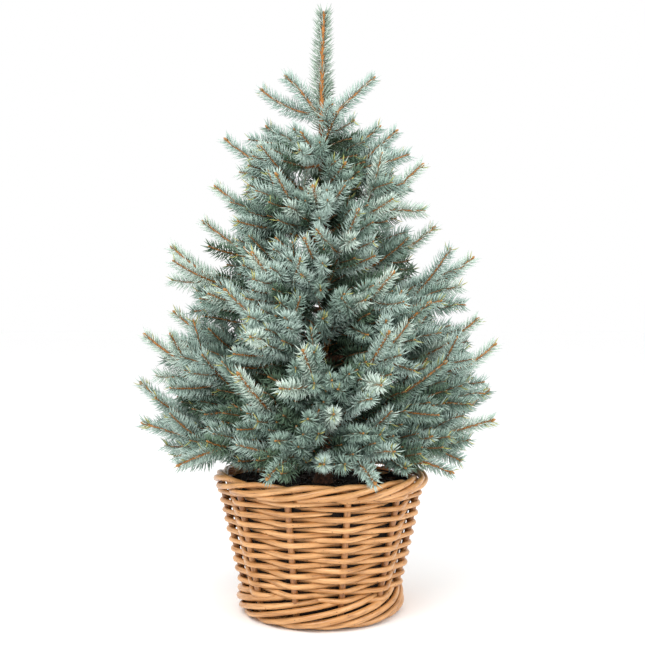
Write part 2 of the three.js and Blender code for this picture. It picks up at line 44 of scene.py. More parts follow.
# ---------------------------------------------------------------- floor, light and camera
# A plain pale floor in a white surround, with two broad soft lamps. The camera stands level with the
# lower half of the crown, so that the rim of the basket is seen a little from above. Metres.
EYE = (0.003, -1.385, 0.4248)
LENS = 51.7
SENSOR = 36
FLOOR_HALF = 40
LAMP_SIZE = 1.6
LAMP_AIM = (0, 0, 0.45)
LAMPS = (("high_lamp", (-0.9, -1.6, 2.3), 42), ("side_lamp", (1.7, -1.2, 1.3), 18))


def linear(code):
    """A colour as four linear values, from its sRGB hex code: each channel is undone by the sRGB curve."""
    channels = [int(code[i:i + 2], 16) / 255 for i in (1, 3, 5)]
    return [c / 12.92 if c <= 0.04045 else ((c + 0.055) / 1.055) ** 2.4 for c in channels] + [1.0]


def add_node(material, kind, settings=None, links=None, stops=()):
    """A shader node of a kind, with its settings, its inputs set from values or linked from other nodes'
    sockets, and the stops of its colour ramp, each a place and a hex colour."""
    node = material.node_tree.nodes.new("ShaderNode" + kind)
    for name, value in (settings or {}).items():
        setattr(node, name, value)
    for socket, source in (links or {}).items():
        if isinstance(source, bpy.types.NodeSocket):
            material.node_tree.links.new(source, node.inputs[socket])
        else:
            node.inputs[socket].default_value = source
    for number, (place, colour) in enumerate(stops):
        node.color_ramp.elements[number].position = place
        node.color_ramp.elements[number].color = linear(colour)
    return node


def new_finish(name, **values):
    """A material with one Principled shader, which takes the given plain values."""
    material = bpy.data.materials.new(name)
    material.use_nodes = True
    shader = material.node_tree.nodes["Principled BSDF"]
    for socket, value in values.items():
        shader.inputs[socket.replace("_", " ")].default_value = value
    return material, shader


def soft_lamp(name, place, power):
    """A square area lamp at a place, turned to face the middle of the plant."""
    lamp = bpy.data.lights.new(name, "AREA")
    lamp.size = LAMP_SIZE
    lamp.energy = power
    holder = bpy.data.objects.new(name, lamp)
    away = np.subtract(LAMP_AIM, place)
    level = math.hypot(away[0], away[1])
    holder.location = place
    holder.rotation_euler = (math.atan2(level, -away[2]), 0, math.atan2(-away[0], away[1]))
    bpy.context.scene.collection.objects.link(holder)


surround = bpy.data.worlds.new("white_surround")
surround.use_nodes = True
surround.node_tree.nodes["Background"].inputs["Color"].default_value = (1.0, 1.0, 1.0, 1.0)
surround.node_tree.nodes["Background"].inputs["Strength"].default_value = 1.0
bpy.context.scene.world = surround
bpy.context.scene.view_settings.view_transform = "Standard"
for name, place, power in LAMPS:
    soft_lamp(name, place, power)

floor_mesh = bpy.data.meshes.new("floor")
floor_corners = [(FLOOR_HALF * x, FLOOR_HALF * y, 0) for x, y in ((-1, -1), (1, -1), (1, 1), (-1, 1))]
floor_mesh.from_pydata(floor_corners, [], [(0, 1, 2, 3)])
floor_paint, _ = new_finish("matt_white_paint", Base_Color=linear("#ffffff"), Roughness=0.9)
floor_mesh.materials.append(floor_paint)
floor = bpy.data.objects.new("floor", floor_mesh)
bpy.context.scene.collection.objects.link(floor)

camera = bpy.data.objects.new("camera", bpy.data.cameras.new("camera"))
camera.data.lens = LENS
camera.data.sensor_width = SENSOR
camera.location = EYE
camera.rotation_euler = (math.radians(90), 0, 0)
bpy.context.scene.collection.objects.link(camera)
bpy.context.scene.camera = camera

# ---------------------------------------------------------------- basket: stakes
# Eleven upright willow stakes carry the weave and lean outward with the wall. They are peeled and boiled
# rods, so they are honey-buff with a light shine, in a darker copy of the weave's finish: painted shade for
# the stakes seen behind the weave. All lengths from here on are in millimetres.
MM = 0.001
STAKES = 11
FIRST_STAKE = math.radians(-107.8)
STAKE_R = 4.7
STAKE_FOOT = 14
STAKE_HEAD = 190
STAKE_STEPS = 30
STAKE_DEPTH = 13  # from the outside of the wall in to the middle of a stake
FOOT_R = 121
WALL_FLARE = 0.222
WALL_FOOT = 18
GRAIN_SHIFT = 431  # each rod's grain starts this much further on, so that no two look alike


def wall_radius(z):
    """Radius over the rods at a height: it grows in step with the height."""
    return FOOT_R + WALL_FLARE * (z - WALL_FOOT)


def ring_point(angle, radius, z):
    """Points at angles, radii and heights round the upright axis."""
    angle, radius, z = np.broadcast_arrays(angle, radius, z)
    return np.stack([radius * np.cos(angle), radius * np.sin(angle), z], axis=-1)


def unit(vectors):
    """Each vector divided by its length."""
    return vectors / np.linalg.norm(vectors, axis=-1, keepdims=True)


def ring_about(side, up, sides):
    """Corners of a circle of radius one in the plane of two directions, starting at the first."""
    turn = np.arange(sides) * 2 * np.pi / sides
    return side[..., None, :] * np.cos(turn)[:, None] + up[..., None, :] * np.sin(turn)[:, None]


def ringed_faces(bodies, rings, sides, turned_over=False):
    """Faces of bodies that each have rings of corners, then a foot hub and a head hub: walls from ring to
    ring and a fan to each hub. They are turned over where the rings run the other way about."""
    base = np.arange(bodies)[:, None, None] * (rings * sides + 2)
    step = np.arange(rings - 1)[None, :, None] * sides
    k = np.arange(sides)[None, None, :]
    a, b = base + step + k, base + step + (k + 1) % sides
    hub, last = base + rings * sides, base + (rings - 1) * sides
    faces = ((a, a + sides, b + sides, b),
             (hub, base + k, base + (k + 1) % sides),
             (hub + 1, last + (k + 1) % sides, last + k))
    faces = [np.stack(np.broadcast_arrays(*f), axis=-1).reshape(-1, len(f)) for f in faces]
    return [np.roll(f[:, ::-1], 1, axis=1) for f in faces] if turned_over else faces


def swept_rods(paths, radii, sides, across, flat=1.0):
    """Rods along paths (rods x steps x 3): a ring of corners, square to the path, at each step, and a hub
    that closes each end. across is a direction that the rings start square to, and flat squeezes them.
    Gives the corners, the faces, and for each face corner its place along and round its rod."""
    along = unit(np.gradient(paths, axis=1))
    side = unit(np.cross(along, across))
    up = np.cross(side, along)
    skin = paths[:, :, None] + radii[..., None, None] * ring_about(side, up * flat, sides)
    rods, steps = paths.shape[:2]
    points = np.concatenate([skin.reshape(rods, -1, 3), paths[:, [0, -1]]], axis=1)
    stride = np.linalg.norm(np.diff(paths, axis=1), axis=2)
    run = np.concatenate([np.zeros((rods, 1)), np.cumsum(stride, axis=1)], axis=1)
    run = run + GRAIN_SHIFT * np.arange(rods)[:, None]
    u = np.stack([run[:, :-1], run[:, 1:], run[:, 1:], run[:, :-1]], axis=-1)[:, :, None]
    k = np.arange(sides)[None, None, :]
    v = np.stack([k, k, k + 1, k + 1], axis=-1) / sides
    uv = np.stack(np.broadcast_arrays(u * MM, v), axis=-1).reshape(-1, 2)
    ends = np.repeat(np.concatenate([run[:, 0], run[:, -1]]) * MM, sides * 3)
    uv = np.concatenate([uv, np.stack([ends, np.zeros_like(ends)], axis=-1)])
    return points.reshape(-1, 3), ringed_faces(rods, steps, sides), uv


def make_piece(name, points, faces, finish, stands_for, uv=None):
    """A mesh piece from corners in millimetres and arrays of faces, riding on the body and standing for
    the named nodes."""
    mesh = bpy.data.meshes.new(name)
    corners = np.concatenate([f.ravel() for f in faces]).astype(np.int32)
    counts = np.concatenate([np.full(len(f), f.shape[1]) for f in faces])
    starts = np.concatenate([[0], np.cumsum(counts)[:-1]]).astype(np.int32)
    mesh.vertices.add(len(points))
    mesh.vertices.foreach_set("co", (np.asarray(points) * MM).astype(np.float32).ravel())
    mesh.loops.add(len(corners))
    mesh.loops.foreach_set("vertex_index", corners)
    mesh.polygons.add(len(counts))
    mesh.polygons.foreach_set("loop_start", starts)
    if uv is not None:
        layer = mesh.uv_layers.new(name="along_the_grain")
        layer.data.foreach_set("uv", uv.astype(np.float32).ravel())
    mesh.update(calc_edges=True)
    mesh.polygons.foreach_set("use_smooth", np.ones(len(counts), bool))
    mesh.materials.append(finish)
    piece = bpy.data.objects.new(name, mesh)
    bpy.context.scene.collection.objects.link(piece)
    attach(piece, "root")
    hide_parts(*stands_for)


# How many times each pattern changes in a metre of rod and once round it: the tone drifts every 70 mm, the
# grain's streaks are 22 mm long and a ninth of the way round, and bud scars stand some 9 mm apart.
TONE_CELLS = (14, 0.6, 1)
GRAIN_CELLS = (45, 9, 1)
SCAR_CELLS = (110, 3.2, 1)
STREAK_STRENGTH = 0.55
SCAR_STRENGTH = 0.7
GRAIN_RELIEF = 0.6


def peeled_willow(name, pale, honey, dark):
    """Peeled, boiled willow: a smooth skin with a low shine, long grain along each rod, tone that drifts
    from rod to rod, and small dark bud scars."""
    finish, shader = new_finish(name, Roughness=0.3, IOR=1.52)
    link = finish.node_tree.links.new
    rod = add_node(finish, "UVMap", {"uv_map": "along_the_grain"}).outputs["UV"]
    drift, lines, dots = (
        add_node(finish, "Mapping", links={"Vector": rod, "Scale": cells}).outputs["Vector"]
        for cells in (TONE_CELLS, GRAIN_CELLS, SCAR_CELLS))
    tone = add_node(finish, "TexNoise", links={"Vector": drift, "Scale": 1.0})
    tones = add_node(finish, "ValToRGB", links={"Fac": tone.outputs["Fac"]},
                     stops=((0.34, honey), (0.66, pale)))
    grain = add_node(finish, "TexNoise",
                     links={"Vector": lines, "Scale": 1.0, "Detail": 4.0, "Roughness": 0.6})
    streaks = add_node(finish, "ValToRGB", links={"Fac": grain.outputs["Fac"]},
                       stops=((0.3, dark), (0.52, "#ffffff")))
    streaked = add_node(finish, "Mix", {"data_type": "RGBA", "blend_type": "MULTIPLY"}, {
        0: STREAK_STRENGTH, 6: tones.outputs["Color"], 7: streaks.outputs["Color"]})
    scars = add_node(finish, "TexVoronoi", links={"Vector": dots, "Scale": 1.0})
    spots = add_node(finish, "ValToRGB", links={"Fac": scars.outputs["Distance"]},
                     stops=((0.07, "#6b4526"), (0.16, "#ffffff")))
    spotted = add_node(finish, "Mix", {"data_type": "RGBA", "blend_type": "MULTIPLY"}, {
        0: SCAR_STRENGTH, 6: streaked.outputs[2], 7: spots.outputs["Color"]})
    link(spotted.outputs[2], shader.inputs["Base Color"])
    relief = add_node(finish, "Bump", links={
        "Height": grain.outputs["Fac"], "Strength": 0.35, "Distance": GRAIN_RELIEF * MM})
    link(relief.outputs["Normal"], shader.inputs["Normal"])
    return finish


willow = peeled_willow("peeled_willow", "#dda971", "#b47d46", "#724722")
# A darker copy of the peeled willow: painted shade, for the stakes behind the weave and the base below.
shaded_willow = peeled_willow("peeled_willow_painted_shade", "#ba8552", "#925f34", "#5e3c20")
stake_angle = FIRST_STAKE + np.arange(STAKES) * 2 * np.pi / STAKES
stake_z = np.linspace(STAKE_FOOT, STAKE_HEAD, STAKE_STEPS)
stake_paths = ring_point(stake_angle[:, None], wall_radius(stake_z)[None] - STAKE_DEPTH, stake_z[None])
across = ring_point(stake_angle[:, None] + np.pi / 2, 1.0, np.zeros(STAKE_STEPS)[None])
points, faces, uv = swept_rods(stake_paths, np.full((STAKES, STAKE_STEPS), STAKE_R), 10, across)
make_piece("basket_stakes", points, faces, shaded_willow, ["basket"], uv)

# ---------------------------------------------------------------- basket: woven wall
# One rod's width after another is wound up the wall, before one stake and behind the next. The stakes are
# odd in number, so each turn passes before the stakes that the turn below passes behind.
ROD_R = 3.75
ROD_FLAT = 0.97
ROD_WEAVE = 9.5  # a rod's middle passes this far before or behind the middle of a stake
ROD_GAPS = 18
ROD_WANDER = 0.7
ROD_SPREAD = 0.05
ROD_TAPER = 0.12
WEAVE_LOW = 34.5
WEAVE_TURNS = 22.9
ROW_STEP = 7.28
STEPS_A_GAP = 10
BEND_PASSES = 3


def woven_rods():
    """The wall as rods that each pass eighteen gaps, one taking over where the last ends. A rod runs
    straight from before one stake to behind the next and bends there, thins from butt to tip, and starts
    and ends behind a stake inside the basket."""
    chance = np.random.default_rng(11)
    starts = np.arange(1, round(WEAVE_TURNS * STAKES) - ROD_GAPS, ROD_GAPS)
    stake = starts[:, None] + np.arange(ROD_GAPS + 2)[None]
    rise = WEAVE_LOW + ROW_STEP * stake / STAKES + chance.uniform(-ROD_WANDER, ROD_WANDER, stake.shape)
    radius = wall_radius(rise) - STAKE_DEPTH + ROD_WEAVE * np.cos(np.pi * stake)
    corners = ring_point(FIRST_STAKE + stake * 2 * np.pi / STAKES, radius, rise)
    at = np.linspace(0, ROD_GAPS + 0.25, ROD_GAPS * STEPS_A_GAP)
    low = np.minimum(at.astype(int), ROD_GAPS)
    paths = corners[:, low] + (corners[:, low + 1] - corners[:, low]) * (at - low)[None, :, None]
    for _ in range(BEND_PASSES):
        paths[:, 1:-1] = (paths[:, :-2] + 2 * paths[:, 1:-1] + paths[:, 2:]) / 4
    share = at[None] / ROD_GAPS
    thick = 1 + ROD_SPREAD * chance.standard_normal((len(starts), 1))
    wander = chance.uniform(0, 2 * np.pi, (len(starts), 1))
    radii = ROD_R * thick * (1 + ROD_TAPER * (0.5 - share)) * (1 + 0.02 * np.sin(at * 2.7 + wander))
    return paths, radii * np.clip((1.05 - share) * 12, 0.35, 1)


rod_paths, rod_radii = woven_rods()
upright = np.array([0.0, 0.0, 1.0])
points, faces, uv = swept_rods(rod_paths, rod_radii, 8, upright, ROD_FLAT)
make_piece("basket_weave", points, faces, willow, ["basket"], uv)

# ---------------------------------------------------------------- basket: border, foot and base
# Above the wall the stakes are turned down and laid over one another in long slants to make a rolled
# border. Below it a band of thicker rods is twined round in the same way and rolled under as the foot.
BORDER_RODS = 15
BORDER_SPAN = 1.45
BORDER_R = 4.4
BORDER_PATH = (
    (145, 185), (153.5, 188.5), (155.6, 194), (153.6, 199.8), (147.5, 202.4), (141, 199.5), (139, 192),
)
FOOT_RODS = 14
FOOT_SPAN = 2.7
FOOT_ROD_R = 4.4
FOOT_PATH = (
    (88, 5.3), (99, 5.1), (112, 5.2), (118.4, 10.5), (120, 20), (119.4, 29), (113.5, 38), (105, 45),
)
LAID_STEPS = 80
LAID_ROUNDINGS = 6
LAID_JITTER = 0.16
FLOOR_CLEAR = 0.3
BASE_TURNS = 14
BASE_STEPS = 700
BASE_HUB = 14
BASE_PITCH = 6.0
BASE_Z = 8.2
BASE_WAVE = 2.2
BASE_ROD_R = 3.1
BASE_STICKS = 9
BASE_STICK_R = 3.6
BASE_STICK_Z = 8.4
BASE_STICK_ENDS = (2, 104)
BASE_STICK_STEPS = 12


def laid_rods(section, rods, span, radius, seed):
    """Rods laid one after another round the basket. Each goes round by span, in radians, while it passes
    through the section's points of radius and height, with a slight wave, and thins at both ends."""
    chance = np.random.default_rng(seed)
    section = np.array(section, float)
    reach = np.concatenate([[0], np.cumsum(np.linalg.norm(np.diff(section, axis=0), axis=1))])
    t = np.linspace(0, 1, LAID_STEPS)
    profile = np.stack([np.interp(t * reach[-1], reach, values) for values in section.T])
    for _ in range(LAID_ROUNDINGS):
        profile[:, 1:-1] = (profile[:, :-2] + 2 * profile[:, 1:-1] + profile[:, 2:]) / 4
    place = np.arange(rods) + chance.uniform(-LAID_JITTER, LAID_JITTER, rods)
    angle = FIRST_STAKE + (place * 2 * np.pi / rods)[:, None] + span * t[None]
    wave = chance.uniform(0, 2 * np.pi, (rods, 1))
    out = profile[0] + 0.8 * np.sin(11 * t[None] + wave)
    height = profile[1] + 1.1 * np.cos(9 * t[None] + wave)
    thick = 1 + 0.06 * chance.standard_normal((rods, 1))
    ends = np.clip(np.minimum(t / 0.05, (1 - t) / 0.06), 0.45, 1)[None]
    return ring_point(angle, out, height), radius * thick * ends


for name, section, rods, span, radius, seed in (
    ("basket_border", BORDER_PATH, BORDER_RODS, BORDER_SPAN, BORDER_R, 5),
    ("basket_foot", FOOT_PATH, FOOT_RODS, FOOT_SPAN, FOOT_ROD_R, 8),
):
    paths, radii = laid_rods(section, rods, span, radius, seed)
    points, faces, uv = swept_rods(paths, radii, 8, upright)
    points[:, 2] = np.maximum(points[:, 2], FLOOR_CLEAR)
    make_piece(name, points, faces, willow, ["basket"], uv)

# The base is one thin rod wound outward in a spiral, over and under nine sticks that cross at the middle.
# Rod and sticks take the darker copy of the willow, painted shade under the basket.
base_turns = np.linspace(0, BASE_TURNS, BASE_STEPS)
base_z = BASE_Z + BASE_WAVE * np.cos(np.pi * base_turns * BASE_STICKS)
base_path = ring_point(2 * np.pi * base_turns, BASE_HUB + BASE_PITCH * base_turns, base_z)[None]
points, faces, uv = swept_rods(base_path, np.full((1, BASE_STEPS), BASE_ROD_R), 6, upright)
make_piece("basket_base", points, faces, shaded_willow, ["basket"], uv)
stick_angle = np.arange(BASE_STICKS) * 2 * np.pi / BASE_STICKS
stick_out = np.linspace(*BASE_STICK_ENDS, BASE_STICK_STEPS)
stick_paths = ring_point(stick_angle[:, None], stick_out[None], np.full((1, BASE_STICK_STEPS), BASE_STICK_Z))
stick_radii = np.full((BASE_STICKS, BASE_STICK_STEPS), BASE_STICK_R)
points, faces, uv = swept_rods(stick_paths, stick_radii, 6, upright)
make_piece("basket_base_sticks", points, faces, shaded_willow, ["basket"], uv)

# ---------------------------------------------------------------- soil
# Dark, damp bark compost fills the basket almost to the border. Its top is lumpy and strewn with chips,
# and round its side a black liner presses out between the rods and shows through the slits.
SOIL_TOP = 185
SOIL_FOOT = 17
LINER_TOP = 189
LINER_DEPTH = 19.5  # from the outside of the wall in to the liner
HOLLOW_DEPTH = 27  # from the outside of the wall in to the edge of the soil
SOIL_EDGE_Z = 178
SOIL_COLUMNS = 96
LINER_RINGS = 9
SOIL_RINGS = 44
SOIL_R = 130
DOME = 3.5
LUMPS = 320
LUMP_SIZES = (4, 12)
LUMP_HEIGHTS = (-2.2, 2.6)
LUMP_LIMIT = 3
SOIL_SEED = 3
CRUMBS_A_METRE = 420  # crumbs a little over two millimetres across
CHIP_SIZE = np.array([5.5, 3.0, 1.1])  # half of a long chip's length, width and thickness
CHIP_FIELD = 128
CHIPS = (("dark", "#2b1c13", 420, 21), ("pale", "#6a4a31", 90, 22))


def bark_compost():
    """Damp bark compost: matt, near black, mottled and roughened by its crumbs."""
    finish, shader = new_finish("bark_compost", Roughness=0.95)
    where = add_node(finish, "TexCoord").outputs["Object"]
    crumb = add_node(finish, "TexNoise",
                     links={"Vector": where, "Scale": CRUMBS_A_METRE, "Detail": 4.0}).outputs["Fac"]
    earth = add_node(finish, "ValToRGB", links={"Fac": crumb},
                     stops=((0.35, "#0d0907"), (0.75, "#30241b")))
    relief = add_node(finish, "Bump", links={"Height": crumb, "Strength": 0.8, "Distance": 2 * MM})
    finish.node_tree.links.new(earth.outputs["Color"], shader.inputs["Base Color"])
    finish.node_tree.links.new(relief.outputs["Normal"], shader.inputs["Normal"])
    return finish


def soil_height(x, y):
    """The soil's top: a low dome with a few hundred rounded lumps, each a bell curve."""
    chance = np.random.default_rng(SOIL_SEED)
    lumps = chance.uniform(-SOIL_R, SOIL_R, (LUMPS, 2))
    sizes = chance.uniform(*LUMP_SIZES, LUMPS)
    heights = chance.uniform(*LUMP_HEIGHTS, LUMPS)
    far = (x[..., None] - lumps[:, 0]) ** 2 + (y[..., None] - lumps[:, 1]) ** 2
    dome = -DOME * (np.hypot(x, y) / SOIL_R) ** 2
    lumpy = (heights * np.exp(-far / (2 * sizes ** 2))).sum(axis=-1).clip(-LUMP_LIMIT, LUMP_LIMIT)
    return SOIL_TOP - 1.5 + dome + lumpy


def soil_body():
    """A closed body: rings up the liner, then rings in over the lumpy top, with a hub at foot and top."""
    turn = np.arange(SOIL_COLUMNS) * 2 * np.pi / SOIL_COLUMNS
    side_z = np.linspace(SOIL_FOOT, LINER_TOP, LINER_RINGS)
    side = ring_point(turn[None], wall_radius(side_z)[:, None] - LINER_DEPTH, side_z[:, None])
    top_r = np.linspace(wall_radius(SOIL_EDGE_Z) - HOLLOW_DEPTH, 3, SOIL_RINGS)
    top = ring_point(turn[None], top_r[:, None], 0.0)
    top[..., 2] = soil_height(top[..., 0], top[..., 1])
    skin = np.concatenate([side, top])
    points = np.concatenate([skin.reshape(-1, 3), [[0, 0, SOIL_FOOT], [0, 0, skin[-1, :, 2].mean()]]])
    return points, ringed_faces(1, len(skin), SOIL_COLUMNS, turned_over=True)


def bark_chips(count, seed):
    """Chips as wedge-ended slabs of eight corners, laid at random slants on the soil."""
    chance = np.random.default_rng(seed)
    radius = CHIP_FIELD * np.sqrt(chance.uniform(0.02, 1, count))
    angle = chance.uniform(0, 2 * np.pi, count)
    centre = ring_point(angle, radius, 0.0)
    centre[:, 2] = soil_height(centre[:, 0], centre[:, 1]) + 0.8
    size = chance.uniform(0.6, 1.0, (count, 3)) * CHIP_SIZE
    heading = unit(np.stack([np.cos(angle * 7), np.sin(angle * 7), chance.uniform(-0.35, 0.35, count)], -1))
    side = unit(np.cross(heading, [0, 0, 1]) + chance.uniform(-0.3, 0.3, (count, 1)) * [0, 0, 1])
    axes = np.stack([heading, side, np.cross(heading, side)], axis=1)
    signs = np.array([(x, y, z) for z in (-1, 1) for x, y in ((-1, -1), (1, -1), (1, 1), (-1, 1))], float)
    signs[4:, :2] *= 0.75
    points = centre[:, None] + np.einsum("ks,csd->ckd", signs, axes * size[:, :, None])
    box = np.array([[0, 3, 2, 1], [4, 5, 6, 7], [0, 1, 5, 4], [1, 2, 6, 5], [2, 3, 7, 6], [3, 0, 4, 7]])
    quads = (np.arange(count)[:, None, None] * 8 + box[None]).reshape(-1, 4)
    turned = np.linalg.det(axes) < 0
    quads = np.where(np.repeat(turned, 6)[:, None], quads[:, ::-1], quads)
    return points.reshape(-1, 3), [quads]


points, faces = soil_body()
make_piece("soil_body", points, faces, bark_compost(), ["soil"])
for shade, colour, count, seed in CHIPS:
    chip_bark, _ = new_finish(f"bark_chips_{shade}", Base_Color=linear(colour), Roughness=0.9)
    points, faces = bark_chips(count, seed)
    make_piece(f"soil_chips_{shade}", points, faces, chip_bark, ["soil"])

# ---------------------------------------------------------------- trunk
# One young spruce stem runs from the soil to the tip of the leader. Its bark is thin, red-brown and
# scaly, rough with the pegs that old needles leave. It is a single tapering limb with a flared foot.
GAP = 0.3
GROUND = SOIL_TOP + GAP
TIP = 886
TRUNK_BASE = (3.7, 0.0)
TRUNK_BOW = 4
TRUNK_LEAN = 3.5
TRUNK_R = 10.5
TRUNK_TIP_R = 2.4
FLARE_R = 6
FLARE_HEIGHT = 16
TRUNK_STEPS = 260
TRUNK_SIDES = 20
TRUNK_RELIEF = 0.42
PEG_SHARE = 0.18
PEG_HEIGHT = 0.8  # of the relief
SCALES_A_METRE = 330  # scales three millimetres across
YOUNG_FROM = (0.7, 0.75)  # metres up the trunk, where the newest bark begins


def trunk_centre(z):
    """The trunk's middle at a height: a slow double bow, and a lean that grows with the cube of height."""
    u = (np.asarray(z, float) - GROUND) / (TIP - GROUND)
    x = TRUNK_BASE[0] + TRUNK_BOW * np.sin(1.8 * np.pi * u) + TRUNK_LEAN * u ** 3
    y = TRUNK_BASE[1] + 0.5 * TRUNK_BOW * np.sin(1.3 * np.pi * u)
    return np.stack(np.broadcast_arrays(x, y, z), axis=-1).astype(float)


def trunk_radius(z):
    """Taper from foot to tip, and a flare at the foot that dies away with height."""
    u = (np.asarray(z, float) - GROUND) / (TIP - GROUND)
    taper = TRUNK_R + (TRUNK_TIP_R - TRUNK_R) * np.minimum(1, u) ** 0.8
    return taper + FLARE_R * np.exp(-(z - GROUND) / FLARE_HEIGHT)


def barked_limb(path, radii, sides, relief, across, seed):
    """A limb with bark relief: a swept rod whose corners move out and in by rough scales, random over the
    grid and smoothed once along the limb, with a sharp peg on about one corner in five."""
    points, faces, uv = swept_rods(path[None], radii[None], sides, across)
    steps = len(path)
    chance = np.random.default_rng(seed)
    rough = chance.uniform(-1, 1, (steps, sides))
    rough[1:-1] = (rough[:-2] + 2 * rough[1:-1] + rough[2:]) / 4
    rough += PEG_HEIGHT * (chance.uniform(0, 1, (steps, sides)) > 1 - PEG_SHARE)
    skin = points[:-2].reshape(steps, sides, 3)
    out = unit(skin - path[:, None])
    skin += out * (relief * rough)[..., None]
    points[:-2] = skin.reshape(-1, 3)
    return points, faces, uv


def spruce_bark(ridge, groove, young):
    """Thin spruce bark: matt red-brown scales about three millimetres across with darker cracks, and a
    smoother orange-brown skin on the newest growth of the leader."""
    finish, shader = new_finish("spruce_bark", Roughness=0.8)
    where = add_node(finish, "TexCoord").outputs["Object"]
    scales = add_node(finish, "TexVoronoi", links={"Vector": where, "Scale": SCALES_A_METRE})
    flecks = add_node(finish, "TexNoise",
                      links={"Vector": where, "Scale": 0.7 * SCALES_A_METRE, "Detail": 5.0})
    blend = add_node(finish, "Math", {"operation": "MULTIPLY_ADD"},
                     {0: scales.outputs["Distance"], 1: 0.5, 2: flecks.outputs["Fac"]})
    tint = add_node(finish, "ValToRGB", links={"Fac": blend.outputs["Value"]},
                    stops=((0.45, ridge), (0.95, groove)))
    height = add_node(finish, "SeparateXYZ", links={"Vector": where})
    youth = add_node(finish, "MapRange", links={
        "Value": height.outputs["Z"], "From Min": YOUNG_FROM[0], "From Max": YOUNG_FROM[1]})
    aged = add_node(finish, "Mix", {"data_type": "RGBA", "blend_type": "MIX"},
                    {0: youth.outputs["Result"], 6: tint.outputs["Color"], 7: linear(young)})
    relief = add_node(finish, "Bump",
                      links={"Height": blend.outputs["Value"], "Strength": 0.6, "Distance": 0.8 * MM})
    finish.node_tree.links.new(aged.outputs[2], shader.inputs["Base Color"])
    finish.node_tree.links.new(relief.outputs["Normal"], shader.inputs["Normal"])
    return finish


trunk_bark = spruce_bark("#7a4f34", "#3a261a", "#b87638")
trunk_z = np.linspace(GROUND, TIP, TRUNK_STEPS)
points, faces, uv = barked_limb(trunk_centre(trunk_z), trunk_radius(trunk_z), TRUNK_SIDES, TRUNK_RELIEF,
                                [0, 1.0, 0], 31)
points[:, 2] = np.clip(points[:, 2], GROUND, TIP + GAP)
make_piece("trunk_bark", points, faces, trunk_bark, ["trunk"], uv)

# ---------------------------------------------------------------- boughs
# Whorls of branches spring from the trunk, and the longest of them are bare boughs as far as a third of
# their length, with the trunk's bark. The foliage beyond is added as shoots further on.
STAGGER = (0, 11, -11, 19, -20, 6)  # a whorl's limbs spring at slightly different heights
SWAY = 7
BOUGH_SHARE = 0.33
BOUGH_START = 0.015
BOUGH_R = 5.4
BOUGH_TIP_R = 3.9
BOUGH_STEPS = 26
BOUGH_SIDES = 10
BOUGH_RELIEF = 0.3
SEED = 700
# Each whorl has its height on the trunk, the slope at its tips, its kind, and for each branch an azimuth
# (0 right, 90 back), a reach out from the trunk and a rise from root to tip.
WHORLS = (
    (727, 0.9, "top", ((187, 52, 64), (152, 98, 43), (3, 78, 76), (80, 66, 54))),
    (682, 0.9, "upper", ((-64, 48, 46),)),
    (650, 0.85, "upper",
     ((162, 88, 73), (196, 94, 22), (11, 85, 79), (-108, 68, 25), (-66, 64, 22), (98, 96, 58))),
    (602, 0.85, "shoot", ((3, 110, 110), (180, 144, 85), (-96, 98, 22))),
    (544, 0.85, "shoot", ((187, 160, 82), (-5, 146, 100), (-133, 112, 98), (118, 150, 88))),
    (484, 0.85, "shoot",
     ((174, 182, 92), (9, 168, 74), (-66, 116, 106), (-100, 121, 35), (78, 176, 98))),
    (422, 0.85, "bough",
     ((183, 232, 116), (-4, 220, 88), (-61, 167, 80), (-127, 170, 76), (122, 212, 106))),
    (350, 0.85, "bough",
     ((173, 234, 90), (6, 228, 68), (-126, 200, 128), (-44, 179, 82), (70, 232, 100))),
    (296, 0.85, "bough",
     ((185, 264, 110), (-5, 250, 84), (-64, 196, 126), (-96, 186, 72), (128, 244, 96))),
    (246, 0.8, "shoot",
     ((181, 280, 86), (6, 258, 62), (-127, 204, 122), (-32, 193, 104), (84, 244, 76))),
    (226, 0.34, "shoot", ((186, 266, 50), (-6, 247, 46), (44, 232, 34), (138, 228, 34))),
    (236, -0.36, "shoot", ((203, 226, -8), (-25, 194, -34), (-113, 194, -3), (-69, 191, -39))),
)


def seeded(seed):
    """Numbers from 0 to 1, the same run each time: the state times 16807, less whole 2147483647s."""
    state = seed
    while True:
        state = state * 16807 % 2147483647
        yield state / 2147483647


def drawn(chance, low, high):
    """The next seeded number, brought between low and high."""
    return low + (high - low) * next(chance)


def branch_curve(branch, t):
    """Points along a branch: out in step with t, up by a curve whose slope at the tip is the sweep, and
    swayed sideways with the square of t."""
    t = np.asarray(t, float)
    azimuth = np.radians(branch["azimuth"] + SWAY * branch["sway"] * t ** 2)
    swept = branch["sweep"] * branch["reach"] - branch["rise"]
    root = trunk_centre(branch["height"])
    rise = (branch["rise"] - swept) * t + swept * t ** 2
    out = branch["reach"] * t
    return np.stack([root[0] + out * np.cos(azimuth), root[1] + out * np.sin(azimuth),
                     branch["height"] + rise], axis=-1)


def length_of(curve):
    """Length of a curve as 24 chords."""
    return np.linalg.norm(np.diff(curve(np.linspace(0, 1, 25)), axis=0), axis=1).sum()


branches = []
for height, sweep, kind, rows in WHORLS:
    for place, (azimuth, reach, rise) in enumerate(rows):
        chance = seeded(SEED + 37 * len(branches))
        next(chance)
        branches.append(dict(height=height + STAGGER[place], azimuth=azimuth, reach=reach, rise=rise,
                             sweep=sweep, kind=kind, chance=chance, sway=drawn(chance, -1, 1)))

